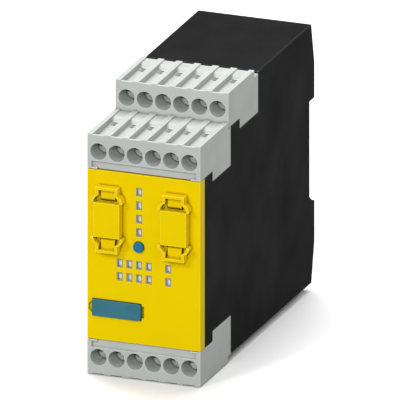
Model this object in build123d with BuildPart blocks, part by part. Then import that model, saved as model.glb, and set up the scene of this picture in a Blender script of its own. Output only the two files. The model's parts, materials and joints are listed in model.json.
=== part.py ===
"""Safety controller module, 45 mm wide, that snaps onto a 35 mm mounting rail.

Frame: X across the width, Y from the front to the back, Z up. The origin lies on the surface the module
stands on, under the middle of its outline, and the front faces -Y. All sizes are in millimetres.
"""

import os

from build123d import *

os.makedirs("parts", exist_ok=True)

# Overall sizes
module_width = 45.0
body_depth = 120.3  # front plane of the terminal blocks to the back of the housing
cover_proud = 3.7  # how far the interface covers stand in front of that plane
front_block_top = 94.8
rear_block_rise = 11.5  # the rear terminal block stands this much higher
rear_block_setback = 29.6  # the rear terminal block starts this far behind the front one
housing_bottom = 2.6
housing_top_drop = 1.7  # the roof lies this much below the rear terminal block
housing_wall = 1.8

# Clearances
seat_gap = 0.1  # between pieces that are plugged or laid together
slide_gap = 0.3  # around the rail latch
button_gap = 0.1  # around the button, a running fit

# Terminal blocks, measured from their front plane and down from their top
block_depth = 32.0
rear_block_depth = 31.2
block_step_y = 29.4
rear_block_step_y = 27.4
block_step_drop = 2.6
block_nose_height = 13.8
block_heel_height = 17.8
block_heel_y = 13.3
rear_block_heel_y = 12.2
pole_count = 6
end_pole_inset = 4.45  # from the end of the block to the first screw
well_wall = 0.82  # between two wells
well_depth = 10.6
well_drop = 6.85
rib_width = 2.47
trough_drop = 2.3
trough_lip_drop = 0.4
trough_lip_depth = 1.0
trough_ramp_radius = 3.4
trough_end_y = 20.5
ledge_y = 22.9
ledge_drop = 0.6
wire_hole_radius = 1.75
wire_mouth_radius = 2.2
wire_mouth_depth = 1.0
wire_hole_y = 19.2
groove_end_wall = 1.7
groove_shoulder_width = 2.2
groove_top_drop = 10.8
groove_shoulder_drop = 13.1
groove_depth = 0.9

# Clamp inside each pole
screw_head_gap = 0.25
screw_head_y = 8.0
screw_head_height = 2.5
screw_radius = 1.5
screw_slot_width = 0.9
screw_slot_depth = 1.1
screw_cross_width = 3.4
chamber_wall = 1.42  # between two clamp chambers
cage_height = 5.4
cage_y = 13.2
cage_depth = 8.9
cage_front_wall = 2.0
cage_wall = 0.8
chamber_gap = 0.2
chamber_floor_drop = 12.2
thread_gap = 0.05
bar_y = 16.7
bar_thickness = 0.8
bar_width = 2.0
bar_drop = 14.0  # top of the flat run that the pin touches
bar_head_drop = 0.4
bar_end_gap = 1.2
channel_head = 1.0
channel_foot = 0.3
channel_side = 0.3
pin_size = 1.0
pin_start_y = 24.5
pin_tail = 1.2
header_height = 4.2
header_depth = 3.0
header_end = 1.6  # how far the strip reaches past the last pin
pin_slot_end = 1.2
pin_slot_height = 2.4

# Housing outline, behind the front plane
cap_depth = 4.75
rear_bevel_depth = 3.3
rear_bevel_height = 15.8
recess_depth = 5.2
recess_height = 37.45
recess_bottom_z = 37.2
recess_ramp_depth = 2.7
recess_ramp_height = 2.0
recess_lip_height = 1.0
guide_rib_width = 1.2
guide_rib_height = 2.0
guide_rib_inset = 2.0  # from the ends of the boards that the ribs guide

# Front cover
cap_skin = 1.6
window_width = 2.3
window_height = 3.3
window_column_x = -1.9
window_column_pitch = 5.3
window_column_rise = 5.6  # from the button up to the lowest window
window_count = 4
window_row_pitch = 3.85
window_row_steps = [-2, -1, 0, 1, 3]  # the place before the last one has no window
window_row_rise = 5.2  # between the two rows
window_row_drop = 7.4  # from the button down to the upper row
interface_left_inset = 8.97  # from the side of the cover to the middle of each interface cover
interface_right_inset = 9.5
interface_rise = 15.0  # above the middle of the front cover
hook_inset = 8.5
hook_width = 5.0
hook_thickness = 1.1
hook_length = 4.3
hook_nub = 0.5
hook_nub_length = 0.9
hook_nub_inset = 0.5
hook_rib_height = 0.4
hook_slot_length = 1.5
hook_slot_depth = 1.0
post_radius = 1.5
post_inset = 3.7
post_rise = 27.5

# Interface covers
cover_block_width = 10.25
bow_half_width = 4.35
bow_wall = 1.1
bow_top = 12.9  # above the middle of the cover
bow_shoulder_drop = 2.9
bow_tip_drop = 6.15
bow_flare = 2.0  # how far each tip stands out beside the grip
bow_bulge = 1.45
bow_bulge_drop = 1.25
bow_hollow = 0.45
bow_hollow_drop = 1.75
bow_tip_round = 0.3
web_thickness = 1.0
tongue_width = 5.5
tongue_rise = 1.0
tongue_slot = 0.5
cover_plug_depth = 2.4
cover_plug_inset = 0.6
tongue_gap = 0.7
tongue_chamfer = 0.8
latch_foot = 1.4
latch_catch = 0.5
web_inset = 0.2
socket_side_wall = 1.0
socket_end_wall = 1.2
socket_floor = 0.8
socket_gap = 0.6
contact_size = 0.6
contact_length = 3.4
contact_pitch = 2.0
contact_row_gap = 3.0

# Label plate
label_left_inset = 2.2
label_drop = 20.75  # below the middle of the front cover
label_width = 19.3
label_height = 6.5
label_proud = 1.0
label_pocket_depth = 0.9
finger_pocket_width = 1.5
finger_pocket_height = 4.6
finger_pocket_chamfer = 1.2
end_pocket_width = 1.0
label_corner = 0.8
label_edge = 0.2
label_clip_x = 6.0
label_clip_width = 3.4
label_clip_height = 2.4
label_clip_end = 0.6

# Reset button
button_rise = 5.0  # above the middle of the front cover
button_radius = 2.0
button_proud = 1.3
button_travel = 0.8
button_flange_radius = 3.0
button_flange_thickness = 0.8
button_stem_radius = 1.3
button_stem_length = 1.2
button_edge_radius = 0.35
plunger_radius = 1.1
plunger_length = 1.7
switch_size = 6.0
switch_height = 3.3
switch_corner = 0.5

# Boards
board_thickness = 1.6
front_board_y = 8.2
board_edge_gap = 0.3
hook_board_gap = 0.5
link_board_inset = 8.0
power_board_inset = 8.7
logic_board_inset = 12.3

# Lights
led_width = 1.6
led_length = 2.4
led_height = 1.0
guide_recess = 0.2
guide_rim = 0.25  # around the pocket in the face of each light guide
guide_pocket_depth = 1.4
guide_plate_y = 2.6
guide_plate_thickness = 1.0
guide_plate_margin = 0.55
guide_plate_end = 1.9
guide_leg_radius = 0.7

# Parts on the boards
connector_width = 5.0
connector_depth = 6.0
connector_length = 30.0
rear_connector_length = 6.4
rear_connector_rise = 4.4
relay_length = 28.0
relay_width = 10.2
relay_height = 12.6
relay_corner = 0.6
relay_pitch = 14.0
relay_inset = 6.1
core_length = 16.0
core_width = 14.0
core_height = 7.0
core_window_length = 3.0
core_window_width = 9.0
core_leg = 4.0
winding_length = 8.6
winding_width = 10.6
winding_height = 11.0
winding_corner = 1.5
winding_hole_length = 5.4
winding_hole_height = 7.4
capacitor_radius = 5.0
capacitor_height = 13.0
capacitor_edge = 0.5
capacitor_pitch = 11.5
transistor_width = 10.0
transistor_tab_height = 15.0
transistor_body_height = 9.0
transistor_thickness = 4.5
transistor_tab_thickness = 1.3
transistor_hole_radius = 1.8
transistor_pitch = 13.0
transistor_inset = 11.7
processor_size = 12.0
processor_lead_span = 14.0
processor_lead_height = 0.4
processor_height = 1.6
processor_corner = 0.5
processor_pitch = 28.0
crystal_length = 11.0
crystal_width = 4.6
crystal_height = 3.4

# Rail latch
rail_lip = 1.0
rail_gap = 0.3
latch_width = 13.8
latch_thickness = 2.2
latch_travel = 4.0
latch_bottom_z = 2.9
latch_arm_z = 30.0
latch_arm_height = 3.2
latch_nose_z = 40.4
latch_nose_thickness = 2.0
latch_nose_slope = 1.8
latch_tab_z = 5.3
latch_tab_width = 5.0
latch_tab_height = 1.6
latch_tube_wall = 1.6
hook_lug_inset = 10.5
hook_lug_width = 8.0
hook_lug_thickness = 2.2
hook_lug_length = 2.6
hook_lug_chamfer = 1.2
spring_radius = 1.0
spring_wire_radius = 0.2
spring_seat_z = 11.0
spring_top_z = 24.0
spring_turns = 9
spring_peg_width = 2.6
spring_peg_height = 1.8
spring_slot_width = 3.2

# Values that follow from the sizes above
front_y = cover_proud - (cover_proud + body_depth) / 2
rear_y = front_y + body_depth
half_width = module_width / 2
middle_z = front_block_top / 2
rear_block_top = front_block_top + rear_block_rise
housing_top = rear_block_top - housing_top_drop
cap_back_y = front_y + cap_depth
cap_inner_y = front_y + cap_skin
cap_height = front_block_top - 2 * block_nose_height - 4 * seat_gap
inner_half_width = half_width - housing_wall
pole_pitch = (module_width - 2 * end_pole_inset) / (pole_count - 1)
pole_x = [(n - (pole_count - 1) / 2) * pole_pitch for n in range(pole_count)]
well_radius = (pole_pitch - well_wall) / 2
trough_width = pole_pitch - rib_width
screw_head_radius = well_radius - screw_head_gap
chamber_width = pole_pitch - chamber_wall
cage_width = chamber_width - 2 * chamber_gap
groove_width = module_width - 2 * groove_end_wall
groove_neck_width = groove_width - 2 * groove_shoulder_width
nose_z = front_block_top - block_nose_height - seat_gap
heel_z = front_block_top - block_heel_height - seat_gap
bay_heel_y = front_y + block_heel_y - seat_gap
bay_back_y = front_y + block_depth + seat_gap
rear_bay_y = front_y + rear_block_setback
rear_nose_z = rear_block_top - block_nose_height - seat_gap
rear_heel_z = rear_block_top - block_heel_height - seat_gap
rear_bay_heel_y = rear_bay_y + rear_block_heel_y - seat_gap
rear_bay_back_y = rear_bay_y + rear_block_depth + seat_gap
chamber_y = cage_y - 4 * chamber_gap
chamber_back_y = cage_y + cage_depth + chamber_gap
chamber_top_drop = well_drop - cage_height / 2 - chamber_gap
channel_width = bar_width + 2 * channel_side
channel_top_drop = bar_drop - pin_size - channel_head
channel_floor_drop = bar_drop + bar_thickness + channel_foot
header_drop = bar_drop - pin_size / 2
header_length = pole_x[-1] - pole_x[0] + pin_size + 2 * header_end
recess_y = rear_y - recess_depth
recess_top_z = recess_bottom_z + recess_height
rear_top_y = rear_y - rear_bevel_depth
opening_half_height = nose_z - housing_wall - middle_z
cap_hook_z = opening_half_height - seat_gap
hook_x = half_width - hook_inset
hook_nub_y = cap_back_y + hook_length - hook_nub_inset - hook_nub_length / 2
post_x = half_width - post_inset
hook_lug_x = half_width - hook_lug_inset

# Places on the front cover
button_x = window_column_x
button_z = middle_z + button_rise
window_column_z = [button_z + window_column_rise + n * window_column_pitch for n in range(window_count)]
window_row_x = [window_column_x + n * window_row_pitch for n in window_row_steps]
window_row_z = [button_z - window_row_drop - window_row_rise, button_z - window_row_drop]
interface_x = [-half_width + interface_left_inset, half_width - interface_right_inset]
interface_z = middle_z + interface_rise
label_x = -half_width + label_left_inset + label_width / 2
label_z = middle_z - label_drop
post_z = [middle_z - post_rise, middle_z + post_rise]
bow_shoulder = bow_top - bow_shoulder_drop
bow_tip = bow_top - bow_tip_drop
bow_tip_half_width = bow_half_width + bow_flare
bow_opening = bow_top - bow_wall
cover_block_height = 2 * bow_tip + seat_gap
cover_plug_height = cover_block_height - 2 * cover_plug_inset
interface_opening_width = tongue_width + 3 * tongue_slot
interface_opening_height = 2 * (bow_opening - seat_gap)
socket_width = interface_opening_width - 2 * seat_gap
socket_length = cover_plug_height + 2 * seat_gap

# Places of the boards
front_board_height = 2 * (cap_hook_z - hook_thickness - hook_board_gap)
terminal_board_y = bay_back_y + housing_wall + seat_gap + header_depth
rear_terminal_board_y = rear_bay_back_y + housing_wall + seat_gap + header_depth
board_bottom_z = housing_bottom + housing_wall + board_edge_gap
board_top_z = housing_top - housing_wall - board_edge_gap
side_board_step_z = rear_heel_z - housing_wall - board_edge_gap
rear_board_bottom_z = side_board_step_z + board_edge_gap
side_board_front_y = terminal_board_y + board_thickness + pin_tail + board_edge_gap
side_board_upper_y = rear_terminal_board_y + board_thickness + pin_tail + board_edge_gap
side_board_back_y = recess_y - housing_wall - board_edge_gap
side_board_x = [-half_width + power_board_inset, half_width - logic_board_inset]


def on(seat, plane):
    """A plane of a block's own frame, moved to where that block is seated."""
    return Plane(seat.location * plane.location)


# Each block is drawn from its front plane and its top. The lower one is the same part turned upside down.
upper_front_seat = Plane(origin=(0, front_y, front_block_top))
upper_rear_seat = Plane(origin=(0, rear_bay_y, rear_block_top))
lower_front_seat = Plane(origin=(0, front_y, 0), x_dir=(-1, 0, 0), z_dir=(0, 0, -1))
blocks = {
    "upper_front": (upper_front_seat, block_depth, block_step_y, block_heel_y, True),
    "upper_rear": (upper_rear_seat, rear_block_depth, rear_block_step_y, rear_block_heel_y, False),
    "lower_front": (lower_front_seat, block_depth, block_step_y, block_heel_y, True),
}


def make_terminal_block(seat, depth, step_y, heel_y, has_groove):
    """Moulded six-pole block: ribs and wire funnels on top, screwdriver wells in the front face."""
    with BuildPart() as block:
        with BuildSketch(on(seat, Plane.YZ)):
            with BuildLine():
                Polyline(
                    (0, 0),
                    (step_y, 0),
                    (step_y, -block_step_drop),
                    (depth, -block_step_drop),
                    (depth, -block_heel_height),
                    (heel_y, -block_heel_height),
                    (heel_y, -block_nose_height),
                    (0, -block_nose_height),
                    close=True,
                )
            make_face()
        extrude(amount=half_width, both=True)

        # Troughs between the ribs, each ending in a rounded ramp up to the rear ledge
        with BuildSketch(*[on(seat, Plane.YZ.offset(x)) for x in pole_x]):
            with BuildLine():
                Polyline(
                    (ledge_y, -ledge_drop),
                    (step_y + 1, -ledge_drop),
                    (step_y + 1, 1),
                    (-1, 1),
                    (-1, -trough_lip_drop),
                    (trough_lip_depth, -trough_lip_drop),
                    (trough_lip_depth, -trough_drop),
                    (trough_end_y, -trough_drop),
                )
                RadiusArc((trough_end_y, -trough_drop), (ledge_y, -ledge_drop), trough_ramp_radius)
            make_face()
        extrude(amount=trough_width / 2, both=True, mode=Mode.SUBTRACT)

        # Clamp chambers, and the channels that lead the contact bars to the back
        with BuildSketch(on(seat, Plane.XY.offset(-chamber_floor_drop))):
            with Locations(*[(x, (chamber_y + chamber_back_y) / 2) for x in pole_x]):
                Rectangle(chamber_width, chamber_back_y - chamber_y)
        extrude(amount=chamber_floor_drop - chamber_top_drop, mode=Mode.SUBTRACT)
        with BuildSketch(on(seat, Plane.XZ.offset(-bar_y + channel_side))):
            with Locations(*[(x, -(channel_top_drop + channel_floor_drop) / 2) for x in pole_x]):
                Rectangle(channel_width, channel_floor_drop - channel_top_drop)
        extrude(amount=-depth, mode=Mode.SUBTRACT)

        # Wire holes with a conical mouth
        with BuildSketch(on(seat, Plane.XY.offset(-trough_drop))):
            with Locations(*[(x, wire_hole_y) for x in pole_x]):
                Circle(wire_hole_radius)
        extrude(amount=trough_drop - chamber_top_drop - wire_mouth_depth, mode=Mode.SUBTRACT)
        for x in pole_x:
            with BuildSketch(on(seat, Plane.XY.offset(-trough_drop))):
                with Locations((x, wire_hole_y)):
                    Circle(wire_mouth_radius)
            with BuildSketch(on(seat, Plane.XY.offset(-trough_drop - wire_mouth_depth))):
                with Locations((x, wire_hole_y)):
                    Circle(wire_hole_radius)
            loft(mode=Mode.SUBTRACT)

        # Screwdriver wells, and the smaller holes for the screws
        with BuildSketch(on(seat, Plane.XZ)):
            with Locations(*[(x, -well_drop) for x in pole_x]):
                Circle(well_radius)
        extrude(amount=-well_depth, mode=Mode.SUBTRACT)
        with BuildSketch(on(seat, Plane.XZ)):
            with Locations(*[(x, -well_drop) for x in pole_x]):
                Circle(screw_radius + chamber_gap)
        extrude(amount=-chamber_y - chamber_gap, mode=Mode.SUBTRACT)

        # Shallow groove for a marking strip, open towards the front cover
        if has_groove:
            with BuildSketch(on(seat, Plane.XZ)):
                with Locations((0, -(groove_top_drop + groove_shoulder_drop) / 2)):
                    Rectangle(groove_width, groove_shoulder_drop - groove_top_drop)
                with Locations((0, -(groove_top_drop + block_nose_height + 1) / 2)):
                    Rectangle(groove_neck_width, block_nose_height + 1 - groove_top_drop)
            extrude(amount=-groove_depth, mode=Mode.SUBTRACT)
    return block.part


def make_terminal_screws(seat):
    """Clamp screws with a slotted cross recess, lying at the bottom of the wells."""
    with BuildPart() as screws:
        with BuildSketch(on(seat, Plane.XZ.offset(-screw_head_y))):
            with Locations(*[(x, -well_drop) for x in pole_x]):
                Circle(screw_head_radius)
        extrude(amount=-screw_head_height)
        with BuildSketch(on(seat, Plane.XZ.offset(-screw_head_y))):
            with Locations(*[(x, -well_drop) for x in pole_x]):
                Circle(screw_radius)
        extrude(amount=-(bar_y - screw_head_y))
        with BuildSketch(on(seat, Plane.XZ.offset(-screw_head_y))):
            with Locations(*[(x, -well_drop) for x in pole_x]):
                Rectangle(2 * well_radius, screw_slot_width)
                Rectangle(screw_slot_width, screw_cross_width)
        extrude(amount=-screw_slot_depth, mode=Mode.SUBTRACT)
    return screws.part


def make_clamp_cages(seat):
    """Steel box clamps: square rings with a threaded front wall, open at the top for the wire."""
    with BuildPart() as cages:
        with BuildSketch(on(seat, Plane.XY.offset(-well_drop - cage_height / 2))):
            with Locations(*[(x, cage_y + cage_depth / 2) for x in pole_x]):
                Rectangle(cage_width, cage_depth)
            with Locations(*[(x, cage_y + (cage_depth + cage_front_wall - cage_wall) / 2) for x in pole_x]):
                Rectangle(
                    cage_width - 2 * cage_wall,
                    cage_depth - cage_front_wall - cage_wall,
                    mode=Mode.SUBTRACT,
                )
        extrude(amount=cage_height)
        with BuildSketch(on(seat, Plane.XZ.offset(-cage_y))):
            with Locations(*[(x, -well_drop) for x in pole_x]):
                Circle(screw_radius + thread_gap)
        extrude(amount=-cage_front_wall, mode=Mode.SUBTRACT)
    return cages.part


def make_contact_bars(seat, depth):
    """Bent bars: down behind the screw tip, then back to where the header pins reach in."""
    with BuildPart() as bars:
        with BuildSketch(*[on(seat, Plane.YZ.offset(x)) for x in pole_x]):
            with BuildLine():
                Polyline(
                    (bar_y, -chamber_top_drop - bar_head_drop),
                    (bar_y + bar_thickness, -chamber_top_drop - bar_head_drop),
                    (bar_y + bar_thickness, -bar_drop),
                    (depth - bar_end_gap, -bar_drop),
                    (depth - bar_end_gap, -bar_drop - bar_thickness),
                    (bar_y, -bar_drop - bar_thickness),
                    close=True,
                )
            make_face()
        extrude(amount=bar_width / 2, both=True)
    return bars.part


def make_header_pins(seat, depth):
    """Square pins from inside the block, through the housing and the strip, to the board's far side."""
    board_y = depth + seat_gap + housing_wall + seat_gap + header_depth
    with BuildPart() as pins:
        with BuildSketch(on(seat, Plane.XZ.offset(-pin_start_y))):
            with Locations(*[(x, -header_drop) for x in pole_x]):
                Rectangle(pin_size, pin_size)
        extrude(amount=-(board_y + board_thickness + pin_tail - pin_start_y))
    return pins.part


def make_pin_header(seat, depth):
    """Plastic strip that holds the pins against the back of the bay."""
    header_y = depth + seat_gap + housing_wall + seat_gap
    with BuildPart() as header:
        with BuildSketch(on(seat, Plane.XZ.offset(-header_y))):
            with Locations((0, -header_drop)):
                Rectangle(header_length, header_height)
            with Locations(*[(x, -header_drop) for x in pole_x]):
                Rectangle(pin_size + 2 * seat_gap, pin_size + 2 * seat_gap, mode=Mode.SUBTRACT)
        extrude(amount=-header_depth)
    return header.part


for block_name, (seat, depth, step_y, heel_y, has_groove) in blocks.items():
    pieces = {
        "terminal_block_": make_terminal_block(seat, depth, step_y, heel_y, has_groove),
        "terminal_screws_": make_terminal_screws(seat),
        "clamp_cages_": make_clamp_cages(seat),
        "contact_bars_": make_contact_bars(seat, depth),
        "header_pins_": make_header_pins(seat, depth),
        "pin_header_": make_pin_header(seat, depth),
    }
    for piece_name, piece in pieces.items():
        piece.label = piece_name + block_name
        export_step(piece, f"parts/{piece_name}{block_name}.step")


# Housing: one moulded shell, open at the front, with a stepped bay for each block and the rail recess
housing_outline = [
    (cap_back_y, front_block_top - nose_z),
    (cap_back_y, nose_z),
    (bay_heel_y, nose_z),
    (bay_heel_y, heel_z),
    (bay_back_y, heel_z),
    (bay_back_y, rear_nose_z),
    (rear_bay_heel_y, rear_nose_z),
    (rear_bay_heel_y, rear_heel_z),
    (rear_bay_back_y, rear_heel_z),
    (rear_bay_back_y, housing_top),
    (rear_top_y, housing_top),
    (rear_y, housing_top - rear_bevel_height),
    (rear_y, recess_top_z),
    (recess_y, recess_top_z),
    (recess_y, recess_bottom_z),
    (rear_y - recess_ramp_depth, recess_bottom_z - recess_ramp_height),
    (rear_y, recess_bottom_z - recess_ramp_height - recess_lip_height),
    (rear_y, housing_bottom + rear_bevel_height),
    (rear_top_y, housing_bottom),
    (bay_back_y, housing_bottom),
    (bay_back_y, front_block_top - heel_z),
    (bay_heel_y, front_block_top - heel_z),
    (bay_heel_y, front_block_top - nose_z),
]

# The latch runs in a channel inside the foot, and its nose comes out through a window above
latch_y = recess_y - housing_wall
channel_y = latch_y - slide_gap
channel_back_y = latch_y + latch_thickness + slide_gap
latch_window_z = latch_arm_z - latch_travel - slide_gap
tube_half_width = latch_width / 2 + slide_gap + latch_tube_wall
rail_back_y = recess_y + rail_lip + rail_gap

with BuildPart() as housing:
    with BuildSketch(Plane.YZ) as side_outline:
        with BuildLine():
            Polyline(*housing_outline, close=True)
        make_face()
    extrude(amount=half_width, both=True)
    with BuildSketch(Plane.YZ):
        add(side_outline.sketch_local)
        offset(amount=-housing_wall, kind=Kind.INTERSECTION, mode=Mode.REPLACE)
    extrude(amount=inner_half_width, both=True, mode=Mode.SUBTRACT)
    with BuildSketch(Plane.XZ.offset(-cap_back_y)):
        with Locations((0, middle_z)):
            Rectangle(2 * inner_half_width, 2 * (nose_z - middle_z - housing_wall))
    extrude(amount=-2 * housing_wall, mode=Mode.SUBTRACT)

    # Slots for the header pins at the back of each bay
    for seat, depth, step_y, heel_y, has_groove in blocks.values():
        with BuildSketch(on(seat, Plane.XZ.offset(-depth))):
            with Locations((0, -header_drop)):
                Rectangle(pole_x[-1] - pole_x[0] + 2 * pin_slot_end, pin_slot_height)
        extrude(amount=-2 * housing_wall, mode=Mode.SUBTRACT)

    # Guide ribs on the floor and under the roof, in pairs, for the two upright boards
    floor_rib = (side_board_front_y + guide_rib_inset, side_board_back_y - 2 * guide_rib_inset)
    roof_rib = (side_board_upper_y + guide_rib_inset, side_board_back_y - 2 * guide_rib_inset)
    rib_offset = seat_gap + guide_rib_width / 2
    for board_x in side_board_x:
        for rib_x in (board_x - rib_offset, board_x + board_thickness + rib_offset):
            with BuildSketch(Plane.XY.offset(housing_bottom + housing_wall)):
                with Locations((rib_x, sum(floor_rib) / 2)):
                    Rectangle(guide_rib_width, floor_rib[1] - floor_rib[0])
            extrude(amount=guide_rib_height)
            with BuildSketch(Plane.XY.offset(housing_top - housing_wall)):
                with Locations((rib_x, sum(roof_rib) / 2)):
                    Rectangle(guide_rib_width, roof_rib[1] - roof_rib[0])
            extrude(amount=-guide_rib_height)

    # Latch channel and window
    with BuildSketch(Plane.YZ):
        add(side_outline.sketch_local)
        with BuildLine():
            Polyline(
                (channel_y - latch_tube_wall, housing_bottom),
                (channel_back_y + latch_tube_wall, housing_bottom),
                (channel_back_y + latch_tube_wall, latch_window_z - latch_tube_wall),
                (rear_y, latch_window_z - latch_tube_wall),
                (rear_y, recess_bottom_z + latch_tube_wall),
                (channel_y - latch_tube_wall, recess_bottom_z + latch_tube_wall),
                close=True,
            )
        make_face(mode=Mode.INTERSECT)
    extrude(amount=tube_half_width, both=True)
    with BuildSketch(Plane.YZ):
        with BuildLine():
            Polyline(
                (channel_y, 0),
                (channel_back_y, 0),
                (channel_back_y, latch_window_z),
                (rear_y + rail_lip, latch_window_z),
                (rear_y + rail_lip, recess_bottom_z),
                (channel_y, recess_bottom_z),
                close=True,
            )
        make_face()
    extrude(amount=latch_width / 2 + slide_gap, both=True, mode=Mode.SUBTRACT)

    # Peg across the channel that the spring stands on
    with BuildSketch(Plane.XZ.offset(-channel_y)):
        with Locations((0, spring_seat_z - spring_peg_height / 2)):
            Rectangle(spring_peg_width, spring_peg_height)
    extrude(amount=-(channel_back_y - channel_y))

    # Two fixed lugs that hook behind the upper edge of the rail
    with BuildSketch(Plane.YZ.offset(-hook_lug_x), Plane.YZ.offset(hook_lug_x)):
        with BuildLine():
            Polyline(
                (rail_back_y, recess_top_z + housing_wall / 2),
                (rail_back_y + hook_lug_thickness, recess_top_z + housing_wall / 2),
                (rail_back_y + hook_lug_thickness, recess_top_z - hook_lug_length + hook_lug_chamfer),
                (rail_back_y + hook_lug_thickness - hook_lug_chamfer, recess_top_z - hook_lug_length),
                (rail_back_y, recess_top_z - hook_lug_length),
                close=True,
            )
        make_face()
    extrude(amount=hook_lug_width / 2, both=True)

    # Slots in the roof and floor of the front opening for the hooks of the front cover
    for side in (-1, 1):
        with BuildSketch(Plane.XY.offset(middle_z + side * opening_half_height)):
            with Locations((-hook_x, hook_nub_y), (hook_x, hook_nub_y)):
                Rectangle(hook_width + 4 * seat_gap, hook_slot_length)
        extrude(amount=side * hook_slot_depth, mode=Mode.SUBTRACT)

housing.part.label = "housing"
export_step(housing.part, "parts/housing.step")


# Front cover: a shallow yellow cap with four spring hooks that catch inside the housing
label_pocket_z = label_height / 2 + seat_gap
label_pocket_x = label_width / 2 + seat_gap
notch_x = label_x - label_pocket_x - finger_pocket_width
label_clips = [(label_x - label_clip_x, label_z), (label_x + label_clip_x, label_z)]

with BuildPart() as front_cover:
    with BuildSketch(Plane.XZ.offset(-front_y)):
        with Locations((0, middle_z)):
            Rectangle(module_width, cap_height)
    extrude(amount=-cap_depth)
    with BuildSketch(Plane.XZ.offset(-cap_inner_y)):
        with Locations((0, middle_z)):
            Rectangle(module_width - 2 * cap_skin, cap_height - 2 * cap_skin)
    extrude(amount=-cap_depth, mode=Mode.SUBTRACT)

    # Windows, button hole and interface openings
    with BuildSketch(Plane.XZ.offset(-front_y)):
        with Locations(*[(window_column_x, z) for z in window_column_z]):
            Rectangle(window_width, window_height)
        with Locations(*[(x, z) for x in window_row_x for z in window_row_z]):
            Rectangle(window_width, window_height)
        with Locations((button_x, button_z)):
            Circle(button_radius + button_gap)
        with Locations(*[(x, interface_z) for x in interface_x]):
            Rectangle(interface_opening_width, interface_opening_height)
    extrude(amount=-cap_skin, mode=Mode.SUBTRACT)

    # Pocket for the label plate, with a chamfered finger notch on its left
    with BuildSketch(Plane.XZ.offset(-front_y)):
        with Locations((label_x, label_z)):
            Rectangle(2 * label_pocket_x, 2 * label_pocket_z)
        with BuildLine():
            Polyline(
                (label_x - label_pocket_x, label_z + finger_pocket_height / 2),
                (notch_x, label_z + finger_pocket_height / 2 - finger_pocket_chamfer),
                (notch_x, label_z - finger_pocket_height / 2 + finger_pocket_chamfer),
                (label_x - label_pocket_x, label_z - finger_pocket_height / 2),
                close=True,
            )
        make_face()
        with Locations((label_x + label_pocket_x + end_pocket_width / 2, label_z)):
            Rectangle(end_pocket_width, finger_pocket_height)
    extrude(amount=-label_pocket_depth, mode=Mode.SUBTRACT)
    with BuildSketch(Plane.XZ.offset(-front_y)):
        with Locations(*label_clips):
            Rectangle(label_clip_width, label_clip_height)
    extrude(amount=-cap_skin, mode=Mode.SUBTRACT)

    # Spring hooks at the top and bottom
    for side in (-1, 1):
        with BuildSketch(Plane.XZ.offset(-cap_inner_y)):
            with Locations(
                (-hook_x, middle_z + side * (cap_hook_z - hook_thickness / 2)),
                (hook_x, middle_z + side * (cap_hook_z - hook_thickness / 2)),
            ):
                Rectangle(hook_width, hook_thickness)
        extrude(amount=-(cap_depth - cap_skin + hook_length))
        with BuildSketch(Plane.XZ.offset(-cap_inner_y)):
            with Locations((-hook_x, middle_z + side * cap_hook_z), (hook_x, middle_z + side * cap_hook_z)):
                Rectangle(hook_width, 2 * hook_rib_height)
        extrude(amount=-(cap_depth - cap_skin - slide_gap))
        with BuildSketch(Plane.XZ.offset(-(hook_nub_y - hook_nub_length / 2))):
            with Locations((-hook_x, middle_z + side * cap_hook_z), (hook_x, middle_z + side * cap_hook_z)):
                Rectangle(hook_width, 2 * hook_nub)
        extrude(amount=-hook_nub_length)

    # Posts that the front board rests on
    with BuildSketch(Plane.XZ.offset(-cap_inner_y)):
        with Locations(*[(x, z) for x in (-post_x, post_x) for z in post_z]):
            Circle(post_radius)
    extrude(amount=-(front_board_y - cap_skin))

front_cover.part.label = "front_cover"
export_step(front_cover.part, "parts/front_cover.step")


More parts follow.
